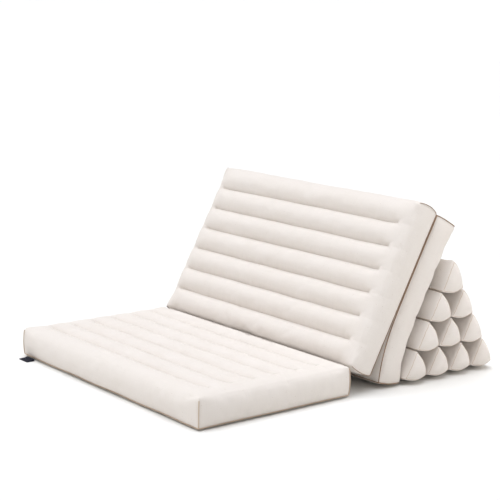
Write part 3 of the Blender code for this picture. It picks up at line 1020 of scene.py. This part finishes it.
hinges = {
    "hinge_seat_back": {"length": 0.740, "line": ((0.4697, 0.0600), (0.4667, 0.0680), (0.4650, 0.0732),
                                                  (0.4648, 0.0758))},
    "hinge_back_rear": {"length": 0.740, "line": ((0.7425, 0.4418), (0.7470, 0.4373), (0.7488, 0.4344),
                                                  (0.7530, 0.4338), (0.7600, 0.4325))},
    "hinge_rear_wedge": {"length": 0.740, "line": ((0.6425, 0.0085), (0.6427, 0.0150), (0.6432, 0.0200),
                                                   (0.6455, 0.0265))},
}


hingeCloth = {"thickness": 0.0010, "wave": 0.00022, "waveSize": 0.016, "across": 9, "along": 186}


def gridFaces(rows, columns):
    return [(r * columns + c, r * columns + c + 1, (r + 1) * columns + c + 1, (r + 1) * columns + c)
            for r in range(rows - 1) for c in range(columns - 1)]


def makeHinge(name, strip, seed):
    line = np.array(strip["line"])
    along = np.concatenate([[0.0], np.cumsum(np.linalg.norm(np.diff(line, axis=0), axis=1))])
    across = np.linspace(0.0, along[-1], hingeCloth["across"])
    profile = np.stack([np.interp(across, along, line[:, i]) for i in range(2)], axis=1)
    xs = np.linspace(-strip["length"] / 2.0, strip["length"] / 2.0, hingeCloth["along"])
    points = np.array([(x, y, z) for x in xs for y, z in profile])
    wave = softNoise(points, hingeCloth["waveSize"], seed) * hingeCloth["wave"]
    points[:, 1] += wave
    points[:, 2] += wave
    made = makeObject(name + "_cloth", points + np.array(matMiddle), gridFaces(len(xs), len(across)), cloth)
    layer = made.data.uv_layers.new(name="cloth")
    loops = np.zeros(len(made.data.loops), np.int32)
    made.data.loops.foreach_get("vertex_index", loops)
    at = np.array([(x, v) for x in xs for v in across])[loops]
    layer.data.foreach_set("uv", at.astype(np.float32).ravel())
    thick = made.modifiers.new("cloth thickness", "SOLIDIFY")
    thick.thickness = hingeCloth["thickness"]
    thick.offset = 0.0
    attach(made, "root")
    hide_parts(name)


for seed, (name, strip) in enumerate(hinges.items()):
    makeHinge(name, strip, seed + 60)

tab = {"fromLeft": 0.025, "width": 0.040, "out": 0.025, "rootY": -0.0035, "thickness": 0.0009,
       "rise": 0.0022}


def makeTab():
    # Tape folded over at its free end, both ends sewn in the seat's front seam
    fold = tab["thickness"] * 0.75
    outer = tab["out"] - fold
    upper = [(s * outer, tab["thickness"] / 2.0 + 2.0 * fold + tab["rise"] * (1.0 - s) ** 2)
             for s in np.linspace(0.0, 1.0, 9)]
    turn = [(outer + fold * math.sin(a), tab["thickness"] / 2.0 + fold + fold * math.cos(a))
            for a in np.linspace(0.0, math.pi, 7)[1:-1]]
    lower = [(s * outer, tab["thickness"] / 2.0) for s in np.linspace(1.0, 0.0, 9)]
    profile = np.array(upper + turn + lower)
    left = -mat["width"] / 2.0 + tab["fromLeft"]
    xs = left + np.linspace(0.0, tab["width"], 15)
    points = np.array([(x, tab["rootY"] - out, z) for x in xs for out, z in profile])
    made = makeObject("seam_tab_tape", points + np.array(matMiddle), gridFaces(len(xs), len(profile)), tape)
    thick = made.modifiers.new("tape thickness", "SOLIDIFY")
    thick.thickness = tab["thickness"]
    thick.offset = 0.0
    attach(made, "root")
    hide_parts("seam_tab")


makeTab()
print("hinges and tab made")


# Floor, light and camera

studio = {
    "world": 0.43,
    "worldColour": "#FFFCF9",
    "rightShare": 0.35,
    "floor": ((15.0, 0.0), (400.0, 90.0)),
    "floorColour": "#EDECE9",
    "camera": (2.7171, -2.2218, 0.9702),
    "azimuth": math.radians(51.04),
    "elevation": math.radians(10.70),
    "roll": math.radians(1.2285),
    "lens": 1348.76 / 500.0 * 36.0,
}
# A light with a place is a panel that stands there, and the others are far away
lights = {
    "overhead softbox": {"from": (-0.02, -0.12, 1.0), "angle": 60.0, "strength": 2.68, "colour": "#F4F8FF"},
    "front softbox": {"from": (-0.35, -1.0, 0.6), "angle": 50.0, "strength": 0.26, "colour": "#FFFFFF"},
    "side panel": {"place": (1.15, 0.75, 0.75), "towards": (0.35, 0.45, 0.25), "size": 0.8, "spread": 100.0,
                   "strength": 1.15, "colour": "#FFFBF7"},
}


def makeStudio():
    # Flat round the cushion, and far off it sweeps up above the horizon
    corners = [(x * half, y * half, z) for half, z in studio["floor"] for x, y in
               ((-1, -1), (1, -1), (1, 1), (-1, 1))]
    rim = [(k, (k + 1) % 4, (k + 1) % 4 + 4, k + 4) for k in range(4)]
    floor = makeObject("floor", corners, [(0, 1, 2, 3), *[face[::-1] for face in rim]])
    material, tree, shader = startMaterial("matt white paint")
    shader.inputs["Roughness"].default_value = 0.9
    shader.inputs["Specular IOR Level"].default_value = 0.1
    place = addNode(tree, "ShaderNodeTexCoord")
    grain = addNode(tree, "ShaderNodeTexNoise", {"Vector": place.outputs["Object"], "Scale": 2.0})
    tone = addNode(tree, "ShaderNodeMix", {"Factor": grain.outputs["Fac"],
                                           6: linearColour(studio["floorColour"]),
                                           7: linearColour("#EFEEEB")}, data_type="RGBA")
    tree.links.new(tone.outputs[2], shader.inputs["Base Color"])
    floor.data.materials.append(material)
    for name, light in lights.items():
        data = bpy.data.lights.new(name, "AREA" if "place" in light else "SUN")
        data.energy = light["strength"]
        data.color = linearColour(light["colour"])[:3]
        lamp = bpy.data.objects.new(name, data)
        scene.collection.objects.link(lamp)
        if "place" in light:
            data.size = light["size"]
            data.spread = math.radians(light["spread"])
            lamp.location = light["place"]
            turned = Vector(light["place"]) - Vector(light["towards"])
        else:
            data.angle = math.radians(light["angle"])
            turned = Vector(light["from"])
        lamp.rotation_euler = turned.to_track_quat("Z", "Y").to_euler()
    # The room is darker to the right
    world = bpy.data.worlds.new("studio")
    world.use_nodes = True
    tree = world.node_tree
    tree.nodes["Background"].inputs["Color"].default_value = linearColour(studio["worldColour"])
    way = addNode(tree, "ShaderNodeTexCoord")
    parts = addNode(tree, "ShaderNodeSeparateXYZ", {0: way.outputs["Generated"]})
    dim = addNode(tree, "ShaderNodeMapRange", {"Value": parts.outputs[0], "From Min": 0.25, "From Max": 0.95,
                                               "To Min": studio["world"],
                                               "To Max": studio["world"] * studio["rightShare"]})
    tree.links.new(dim.outputs[0], tree.nodes["Background"].inputs["Strength"])
    scene.world = world
    scene.view_settings.view_transform = "Standard"


def makeCamera():
    # The photo's place and turn, worked out from the sections' corners
    az, el, roll = studio["azimuth"], studio["elevation"], studio["roll"]
    back = Vector((math.sin(az) * math.cos(el), -math.cos(az) * math.cos(el), math.sin(el)))
    right = (-back).cross(Vector((0.0, 0.0, 1.0))).normalized()
    up = right.cross(-back)
    right, up = (right * math.cos(roll) + up * math.sin(roll), up * math.cos(roll) - right * math.sin(roll))
    data = bpy.data.cameras.new("camera")
    data.sensor_width = 36.0
    data.lens = studio["lens"]
    data.clip_start = 0.05
    data.clip_end = 1500.0
    camera = bpy.data.objects.new("camera", data)
    scene.collection.objects.link(camera)
    turn = Matrix((right, up, back)).transposed().to_4x4()
    camera.matrix_world = Matrix.Translation(Vector(studio["camera"])) @ turn
    scene.camera = camera


makeStudio()
makeCamera()
print("studio made")

bpy.context.view_layer.update()
